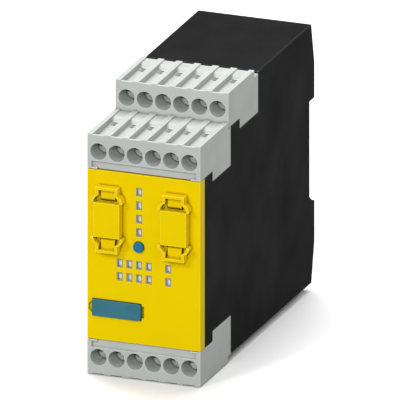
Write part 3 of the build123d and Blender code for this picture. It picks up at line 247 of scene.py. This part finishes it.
def moulded(name, colour, shade, roughness, specular, grain, depth, cloud=9.0,
            fleck=None, flecks=None, painted_corner_shade=None, edge_wear_and_painted_light=None, edge_width=0.6):
    """Makes a moulded plastic. All its sizes are in mm.

    The colour passes into shade in soft clouds of the size cloud, and the gloss varies in larger
    patches. The mould's grain has the size grain and the height depth. Where they are given,
    filler shows in the colour flecks, spaced fleck apart; the third last argument is the painted
    shade that darkens the inner corners, the second last is the colour of the outer edges, partly
    wear and partly painted light, and the last is the width of those edges.
    """
    material = empty_material(name)
    tree = material.node_tree
    place = add(tree, "ShaderNodeTexCoord").outputs["Object"]
    clouds = add(tree, "ShaderNodeTexNoise", {
        "Vector": place, "Scale": 1 / (cloud * mm), "Detail": 3.0, "Roughness": 0.55})
    amount = add(tree, "ShaderNodeMapRange", {"Value": clouds.outputs[0], "From Min": 0.35, "From Max": 0.7})
    base = add(tree, "ShaderNodeMix", {
        0: amount.outputs[0], 6: linear(colour), 7: linear(shade)}, data_type="RGBA").outputs[2]
    if fleck:
        fibres = add(tree, "ShaderNodeTexVoronoi", {"Vector": place, "Scale": 1 / (fleck * mm)}, feature="F1")
        share = add(tree, "ShaderNodeMapRange", {
            "Value": fibres.outputs["Distance"], "From Min": fleck_rim, "From Max": fleck_heart,
            "To Min": 0.0, "To Max": fleck_share})
        base = add(tree, "ShaderNodeMix", {
            0: share.outputs[0], 6: base, 7: linear(flecks)}, data_type="RGBA").outputs[2]
    rubbed = add(tree, "ShaderNodeTexNoise", {
        "Vector": place, "Scale": 1 / (patch_size * cloud * mm), "Detail": 4.0})
    gloss = add(tree, "ShaderNodeMapRange", {
        "Value": rubbed.outputs[0], "From Min": 0.3, "From Max": 0.7,
        "To Min": roughness - gloss_spread, "To Max": roughness + gloss_spread})
    if painted_corner_shade:
        # AO is 1 on an open face, and falls as other faces close in on an inner corner. There the colour is
        # darkened by painted shade.
        corner = add(tree, "ShaderNodeAmbientOcclusion", {"Distance": corner_shade_reach * mm}, samples=shade_rays)
        corner_shade_amount = add(tree, "ShaderNodeMapRange", {
            "Value": corner.outputs["AO"], "From Min": 0.3, "From Max": 0.8, "To Min": 1.0, "To Max": 0.0})
        base = add(tree, "ShaderNodeMix", {
            0: corner_shade_amount.outputs[0], 6: base, 7: linear(painted_corner_shade)}, data_type="RGBA").outputs[2]
    if edge_wear_and_painted_light:
        # Looked at from inside the plastic, an outer edge is such a corner. There the colour passes into the
        # edge colour, which is partly wear and partly painted light: a painted highlight, or on the light
        # guides a painted shade.
        rim = add(tree, "ShaderNodeAmbientOcclusion", {"Distance": edge_width * mm}, samples=shade_rays, inside=True)
        edge = add(tree, "ShaderNodeMapRange", {
            "Value": rim.outputs["AO"], "From Min": 0.45, "From Max": 0.85,
            "To Min": edge_colour_share, "To Max": 0.0})
        base = add(tree, "ShaderNodeMix", {
            0: edge.outputs[0], 6: base, 7: linear(edge_wear_and_painted_light)}, data_type="RGBA").outputs[2]
    grains = add(tree, "ShaderNodeTexNoise", {
        "Vector": place, "Scale": 1 / (grain * mm), "Detail": 2.0, "Roughness": 0.6})
    bump = add(tree, "ShaderNodeBump", {"Height": grains.outputs[0], "Strength": 1.0, "Distance": depth * mm})
    shell = add(tree, "ShaderNodeBsdfPrincipled", {
        "Base Color": base,
        "Roughness": gloss.outputs[0],
        "Normal": bump.outputs[0],
        "Specular IOR Level": specular,
        "IOR": plastic_ior,
    })
    add(tree, "ShaderNodeOutputMaterial", {"Surface": shell.outputs[0]})
    return material


# To the eye a matt black with hardly any shine, faintly clouded and flecked, paler along its edges, partly
# from wear and partly a painted highlight. Its inner corners are darkened by painted shade.
# The real grain is near 0.2 mm and its glass fibres are finer, too fine to show in the render, so the
# grain is drawn at 0.7 mm and the flecks are set 1.1 mm apart.
black_polyamide = moulded(
    "black_glass_filled_polyamide", colour="#1E1E1F", shade="#19191A", roughness=0.6, specular=0.010,
    grain=0.7, depth=0.05, cloud=12.0, fleck=1.1, flecks="#2B2B2C", painted_corner_shade="#0A0A0A", edge_wear_and_painted_light="#646567", edge_width=0.9)
paint(soften("housing", 0.3), black_polyamide)


# Front cover and interface covers: signal-yellow polycarbonate from a smoother mould. The front cover is
# a shallow cap with four spring hooks that catch inside the housing. Two small caps close the interface
# sockets. Each has two bow grips, and a tongue in each grip that hooks behind the front cover's skin.

# To the eye a full, warm yellow with a satin sheen, browner in its inner corners, which is painted shade, and
# lighter along its edges, partly from wear and partly a painted highlight.
# A fine orange peel is drawn at 1 mm, coarser than on a real skin, so that it shows.
yellow_polycarbonate = moulded(
    "satin_yellow_polycarbonate", colour="#E8CA00", shade="#E6C700", roughness=0.45, specular=0.03,
    grain=1.0, depth=0.015, cloud=16.0, painted_corner_shade="#7E5E00", edge_wear_and_painted_light="#FFEA4A")
paint(soften("front_cover", 0.2), yellow_polycarbonate)
for side in ("left", "right"):
    paint(soften("interface_cover_" + side, 0.12), yellow_polycarbonate)


# Terminal blocks: light grey glass-filled polyamide, with ribs, troughs and wire funnels moulded in.
# Each plugs into its bay from the front, onto pins that reach in through the bay's back wall.

# To the eye a dull, slightly greenish grey, a little cloudy, and lightly flecked by its filler.
# Like those of the black plastic, its grain and flecks are drawn coarser than they are.
# Its inner corners are darkened by painted shade, and its edges are lighter, partly from wear and partly a
# painted highlight.
grey_polyamide = moulded(
    "light_grey_glass_filled_polyamide", colour="#B8BCB8", shade="#B2B6B2", roughness=0.55, specular=0.15,
    grain=0.8, depth=0.03, cloud=7.0, fleck=1.3, flecks="#CDD0CC", painted_corner_shade="#7E827E", edge_wear_and_painted_light="#D9DCD9")
for row in ("upper_front", "upper_rear", "lower_front"):
    paint(soften("terminal_block_" + row, 0.15), grey_polyamide)


# Clamp screws: cold-headed steel with a bright zinc plating, faced in a lathe.
# Each lies at the bottom of its well and draws up the cage behind it.
stain_size = 3.0  # mm
streak_height = 0.01  # mm


def plated(name, colour, shade, roughness, streak, stretch):
    """Makes a drawn, rolled or plated metal.

    The colour passes into shade in small stains. The roughness varies by as much as streak, in
    streaks whose lengths along X, Y and Z are stretch, in mm.
    """
    material = empty_material(name)
    tree = material.node_tree
    place = add(tree, "ShaderNodeTexCoord").outputs["Object"]
    drawn = add(tree, "ShaderNodeMapping", {
        "Vector": place, "Scale": [1 / (length * mm) for length in stretch]})
    streaks = add(tree, "ShaderNodeTexNoise", {
        "Vector": drawn.outputs[0], "Scale": 1.0, "Detail": 3.0, "Roughness": 0.65})
    stains = add(tree, "ShaderNodeTexNoise", {"Vector": place, "Scale": 1 / (stain_size * mm), "Detail": 2.0})
    tint = add(tree, "ShaderNodeMapRange", {"Value": stains.outputs[0], "From Min": 0.35, "From Max": 0.65})
    base = add(tree, "ShaderNodeMix", {
        0: tint.outputs[0], 6: linear(colour), 7: linear(shade)}, data_type="RGBA")
    gloss = add(tree, "ShaderNodeMapRange", {
        "Value": streaks.outputs[0], "From Min": 0.3, "From Max": 0.7,
        "To Min": roughness - streak, "To Max": roughness + streak})
    bump = add(tree, "ShaderNodeBump", {
        "Height": streaks.outputs[0], "Strength": 0.6, "Distance": streak_height * mm})
    metal = add(tree, "ShaderNodeBsdfPrincipled", {
        "Base Color": base.outputs[2],
        "Roughness": gloss.outputs[0],
        "Normal": bump.outputs[0],
        "Metallic": 1.0,
    })
    add(tree, "ShaderNodeOutputMaterial", {"Surface": metal.outputs[0]})
    return material


# To the eye a pale, softly bright silver. The lathe leaves rings round each screw, so their pattern
# starts again at each pole. They are drawn 0.32 mm apart, coarser than real ones, so that they show.
pole_pitch = 7.22  # mm
ring_pitch = 0.32  # mm
ring_height = 0.006  # mm
screw_rows = {"upper_front": 87.95, "upper_rear": 99.45, "lower_front": 6.85}  # mm, height of the screws
for row, row_z in screw_rows.items():
    turned = plated(
        "turned_zinc_plated_steel_" + row, colour="#DCDDDA", shade="#CDCFCC", roughness=0.48,
        streak=0.08, stretch=(4.0, 0.5, 4.0))
    tree = turned.node_tree
    split = add(tree, "ShaderNodeSeparateXYZ", {0: tree.nodes["Texture Coordinate"].outputs["Object"]})
    across = add(tree, "ShaderNodeMath", {0: split.outputs[0], 1: 0.0, 2: pole_pitch * mm}, operation="WRAP")
    across = add(tree, "ShaderNodeMath", {0: across.outputs[0], 1: pole_pitch / 2 * mm}, operation="SUBTRACT")
    above = add(tree, "ShaderNodeMath", {0: split.outputs[2], 1: row_z * mm}, operation="SUBTRACT")
    centred = add(tree, "ShaderNodeCombineXYZ", {0: across.outputs[0], 1: above.outputs[0]})
    radius = add(tree, "ShaderNodeVectorMath", {0: centred.outputs[0]}, operation="LENGTH")
    turns = add(tree, "ShaderNodeMath", {
        0: radius.outputs["Value"], 1: 2 * pi / (ring_pitch * mm)}, operation="MULTIPLY")
    rings = add(tree, "ShaderNodeMath", {0: turns.outputs[0]}, operation="SINE")
    lathe = add(tree, "ShaderNodeBump", {
        "Height": rings.outputs[0], "Strength": 0.5, "Distance": ring_height * mm,
        "Normal": tree.nodes["Bump"].outputs[0]})
    tree.links.new(lathe.outputs[0], tree.nodes["Principled BSDF"].inputs["Normal"])
    paint(soften("terminal_screws_" + row, 0.12), turned)


# Inside each pole: a square zinc-plated steel cage, a bent bar of tinned copper, and a pin to the boards.
# Black moulded strips hold the pins where they come through the back of the block's bay.

# To the eye the cages are a cool grey silver and the copper parts a warmer, brighter one, both streaked
# as they were rolled. The strips are a hard black with a faint gloss and grey specks of filler.
cage_steel = plated(
    "stamped_zinc_plated_steel", colour="#BFC1C0", shade="#A9ACAC", roughness=0.38,
    streak=0.08, stretch=(0.6, 5.0, 0.6))
tinned_copper = plated(
    "rolled_tinned_copper", colour="#CFCBC0", shade="#BDB8AC", roughness=0.3,
    streak=0.1, stretch=(0.4, 6.0, 0.4))
component_black = moulded(
    "black_moulded_epoxy", colour="#1B1B1D", shade="#151517", roughness=0.5, specular=0.35,
    grain=0.5, depth=0.02, cloud=4.0, fleck=0.6, flecks="#3A3A3D")
for row in screw_rows:
    paint(frame["nodes"]["clamp_cages_" + row], cage_steel)
    paint(frame["nodes"]["contact_bars_" + row], tinned_copper)
    paint(frame["nodes"]["header_pins_" + row], tinned_copper)
    paint(frame["nodes"]["pin_header_" + row], component_black)


# Label plate: a moulded blue-green plate with its two right-hand corners cut off.
# Two clips on its back hold it in its pocket. Its mould is matt, so that it takes a pen.

# To the eye a dusty teal with next to no shine, paler along its edges, partly from wear and partly a painted
# highlight, and darkened by painted shade in its inner corners
label_plastic = moulded(
    "matt_teal_label_plastic", colour="#3B7484", shade="#376E7D", roughness=0.6, specular=0.06,
    grain=0.8, depth=0.03, cloud=6.0, painted_corner_shade="#285460", edge_wear_and_painted_light="#5290A0")
paint(soften("label_plate", 0.1), label_plastic)


# Reset button: a round cap of blue polyamide from a polished mould, held by a flange behind the cover.
# Its stem pushes a plunger into the switch on the front board.

# To the eye a clear mid blue, smoother and glossier than the cover round it, and lighter along its edges,
# partly from wear and partly a painted highlight
button_plastic = moulded(
    "polished_blue_polyamide", colour="#186E9A", shade="#146692", roughness=0.34, specular=0.15,
    grain=0.9, depth=0.01, cloud=4.0, edge_wear_and_painted_light="#3484B4")
paint(soften("reset_button", 0.08), button_plastic)
paint(frame["nodes"]["switch_plunger"], component_black)
paint(frame["nodes"]["reset_switch"], component_black)


# Interface sockets: black moulded shells on the front board, open towards the two small yellow caps.
# Two rows of tinned contacts stand on the floor of each.
for side in ("left", "right"):
    paint(frame["nodes"]["interface_socket_" + side], component_black)
    paint(frame["nodes"]["interface_contacts_" + side], tinned_copper)


# Light guides: milky polycarbonate pipes with a shallow pocket in each face, one for each window.
# A plate joins them and stands on the front board, and a small lamp sits behind each pipe.

# To the eye the faces are soft and white, because the light spreads inside the plastic.
# Their thin rims and edges are painted a darker grey, which is painted shade.
light_spread = (0.8 * mm, 0.8 * mm, 0.7 * mm)
milky_polycarbonate = moulded(
    "milky_polycarbonate", colour="#F4F5F1", shade="#EBEDE9", roughness=0.3, specular=0.5,
    grain=0.6, depth=0.01, cloud=3.0, edge_wear_and_painted_light="#868682")
milky = milky_polycarbonate.node_tree.nodes["Principled BSDF"]
milky.inputs["Subsurface Weight"].default_value = 0.35
milky.inputs["Subsurface Radius"].default_value = light_spread
milky.inputs["Subsurface Scale"].default_value = 1.0
for guide in ("light_guide_column", "light_guide_rows"):
    paint(frame["nodes"][guide], milky_polycarbonate)

# To the eye the lamps' resin is a glossy, slightly yellow white
lamp_resin = moulded(
    "clear_lamp_resin", colour="#E9E6CE", shade="#DDD9B8", roughness=0.2, specular=0.5,
    grain=0.5, depth=0.005, cloud=1.0)
paint(frame["nodes"]["indicator_leds"], lamp_resin)


# Circuit boards: woven glass and epoxy under green solder mask, with copper tracks below the mask.
# Three stand across the module, a link board joins the two front ones, and two more stand upright in
# the housing's ribs.

# To the eye a semi-gloss green, with the tracks as lighter, slightly raised lines. The sawn edges are bare
# and tan, with the glass layers as fine lines. The cloth's threads lie about 0.5 mm apart.
track_grid = 1.27  # mm, between the lanes that tracks keep to
track_width = 0.3  # of a lane
track_run = 9.0  # mm, the length of lane over which there is a track or none
lane_shift = 0.37  # of a run, from one lane to the next
cross_shift = 31.7  # of a run, so that tracks one way don't repeat those the other way
track_chance = 0.5
track_rise = 2.0  # times the height of the weave
weave_size = 0.5  # mm
layer_pitch = 0.25  # mm
relief_height = 0.02  # mm
bare_mask, mask_over_track = "#1C5A38", "#2C7A4A"
edge_resin, edge_glass = "#A89A62", "#C2B680"


def circuit_board(name, thin, along, across):
    """Makes a board whose thickness lies along one axis; tracks run on the other two (0 X, 1 Y, 2 Z)."""
    material = empty_material(name)
    tree = material.node_tree
    place = add(tree, "ShaderNodeTexCoord").outputs["Object"]
    axes = add(tree, "ShaderNodeSeparateXYZ", {0: place})
    tracks = None
    for run, step, shift in ((along, across, 0.0), (across, along, cross_shift)):
        lane = add(tree, "ShaderNodeMath", {
            0: axes.outputs[step], 1: 1 / (track_grid * mm)}, operation="MULTIPLY")
        number = add(tree, "ShaderNodeMath", {0: lane.outputs[0]}, operation="FLOOR")
        within = add(tree, "ShaderNodeMath", {0: lane.outputs[0]}, operation="FRACT")
        narrow = add(tree, "ShaderNodeMath", {0: within.outputs[0], 1: track_width}, operation="LESS_THAN")
        length = add(tree, "ShaderNodeMath", {
            0: axes.outputs[run], 1: 1 / (track_run * mm), 2: shift}, operation="MULTIPLY_ADD")
        uneven = add(tree, "ShaderNodeMath", {
            0: number.outputs[0], 1: lane_shift, 2: length.outputs[0]}, operation="MULTIPLY_ADD")
        stretch = add(tree, "ShaderNodeMath", {0: uneven.outputs[0]}, operation="FLOOR")
        cell = add(tree, "ShaderNodeCombineXYZ", {0: number.outputs[0], 1: stretch.outputs[0], 2: shift})
        chance = add(tree, "ShaderNodeTexWhiteNoise", {"Vector": cell.outputs[0]})
        laid = add(tree, "ShaderNodeMath", {
            0: chance.outputs["Value"], 1: track_chance}, operation="GREATER_THAN")
        track = add(tree, "ShaderNodeMath", {0: narrow.outputs[0], 1: laid.outputs[0]}, operation="MULTIPLY")
        if tracks is None:
            tracks = track
        else:
            tracks = add(tree, "ShaderNodeMath", {
                0: tracks.outputs[0], 1: track.outputs[0]}, operation="MAXIMUM")
    weave = add(tree, "ShaderNodeTexNoise", {"Vector": place, "Scale": 1 / (weave_size * mm), "Detail": 1.0})
    mask = add(tree, "ShaderNodeMix", {
        0: tracks.outputs[0], 6: linear(bare_mask), 7: linear(mask_over_track)}, data_type="RGBA")
    layers = add(tree, "ShaderNodeMath", {
        0: axes.outputs[thin], 1: 2 * pi / (layer_pitch * mm)}, operation="MULTIPLY")
    layer = add(tree, "ShaderNodeMath", {0: layers.outputs[0]}, operation="SINE")
    sawn = add(tree, "ShaderNodeMix", {
        0: layer.outputs[0], 6: linear(edge_resin), 7: linear(edge_glass)}, data_type="RGBA")

    # The mask lies on the faces that look along the thickness, and the others are sawn edges
    facing = add(tree, "ShaderNodeSeparateXYZ", {0: add(tree, "ShaderNodeNewGeometry").outputs["True Normal"]})
    flat = add(tree, "ShaderNodeMath", {0: facing.outputs[thin]}, operation="ABSOLUTE")
    face = add(tree, "ShaderNodeMath", {0: flat.outputs[0], 1: 0.5}, operation="GREATER_THAN")
    base = add(tree, "ShaderNodeMix", {
        0: face.outputs[0], 6: sawn.outputs[2], 7: mask.outputs[2]}, data_type="RGBA")
    gloss = add(tree, "ShaderNodeMapRange", {
        "Value": weave.outputs[0], "From Min": 0.3, "From Max": 0.7, "To Min": 0.24, "To Max": 0.4})
    relief = add(tree, "ShaderNodeMath", {
        0: tracks.outputs[0], 1: track_rise, 2: weave.outputs[0]}, operation="MULTIPLY_ADD")
    bump = add(tree, "ShaderNodeBump", {
        "Height": relief.outputs[0], "Strength": 0.7, "Distance": relief_height * mm})
    board = add(tree, "ShaderNodeBsdfPrincipled", {
        "Base Color": base.outputs[2], "Roughness": gloss.outputs[0], "Normal": bump.outputs[0]})
    add(tree, "ShaderNodeOutputMaterial", {"Surface": board.outputs[0]})
    return material


cross_board = circuit_board("green_masked_glass_epoxy_crosswise", thin=1, along=0, across=2)
side_board = circuit_board("green_masked_glass_epoxy_upright", thin=0, along=1, across=2)
for board in ("front_board", "front_terminal_board", "rear_terminal_board"):
    paint(frame["nodes"][board], cross_board)
for board in ("power_board", "logic_board", "link_board"):
    paint(frame["nodes"][board], side_board)


# Parts on the boards: moulded black connectors, relays and chips, steel crystal cans, sleeved capacitors.
# Relays, capacitors and transistors stand on the power board, and chips and crystals on the logic board.

# To the eye the relay cases are glossier than the dull epoxy of the chips
relay_case = moulded(
    "black_relay_case", colour="#222225", shade="#1C1C1F", roughness=0.4, specular=0.4,
    grain=0.8, depth=0.015, cloud=5.0)
for part in ("board_connectors", "output_transistors", "processors"):
    paint(frame["nodes"][part], component_black)
paint(frame["nodes"]["safety_relays"], relay_case)
paint(frame["nodes"]["clock_crystals"], cage_steel)

# To the eye the capacitors' shrunk-on sleeve is a shiny, very dark blue
capacitor_sleeve = moulded(
    "dark_blue_shrink_sleeve", colour="#26323F", shade="#202B37", roughness=0.28, specular=0.5,
    grain=1.5, depth=0.01, cloud=5.0)
paint(frame["nodes"]["filter_capacitors"], capacitor_sleeve)


# Converter: a sintered ferrite core round a coil of enamelled copper wire, on the power board.
# The wire is 0.4 mm thick and lies in close turns, which show as bands round the coil.

# To the eye the ferrite is a dull, speckled dark grey, and the coil a glossy red-brown
wire_thickness = 0.4  # mm
turn_height = 0.1  # mm
wave_period = 0.314  # the width of one band of Blender's wave pattern at a scale of 1
ferrite = moulded(
    "sintered_ferrite", colour="#35373A", shade="#2B2D30", roughness=0.7, specular=0.3,
    grain=0.35, depth=0.04, cloud=2.5, fleck=0.5, flecks="#55585C")
paint(frame["nodes"]["converter_core"], ferrite)
enamelled_wire = plated(
    "enamelled_copper_wire", colour="#B9713A", shade="#9A5526", roughness=0.32,
    streak=0.06, stretch=(5.0, 5.0, 0.4))
tree = enamelled_wire.node_tree
bands = add(tree, "ShaderNodeTexWave", {
    "Vector": tree.nodes["Texture Coordinate"].outputs["Object"],
    "Scale": wave_period / (wire_thickness * mm)}, bands_direction="Z")
turns = add(tree, "ShaderNodeBump", {
    "Height": bands.outputs[0], "Strength": 1.0, "Distance": turn_height * mm})
tree.links.new(turns.outputs[0], tree.nodes["Principled BSDF"].inputs["Normal"])
paint(frame["nodes"]["converter_winding"], enamelled_wire)


# Rail latch: a flat black slider of the housing's own polyamide, whose hooked nose grips the rail.
# A coil spring of drawn steel wire in the slider's window pushes it up. The spring stands on a peg in
# the housing's channel; the real one shortens as the latch is pulled down.
paint(soften("rail_latch", 0.2), black_polyamide)

# To the eye the wire is a darker, smoother silver than the screws
spring_steel = plated(
    "drawn_spring_steel", colour="#9C9EA1", shade="#808286", roughness=0.35,
    streak=0.08, stretch=(0.5, 0.5, 0.3))
spring = soften("latch_spring", 0)
paint(spring, spring_steel)
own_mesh(spring)
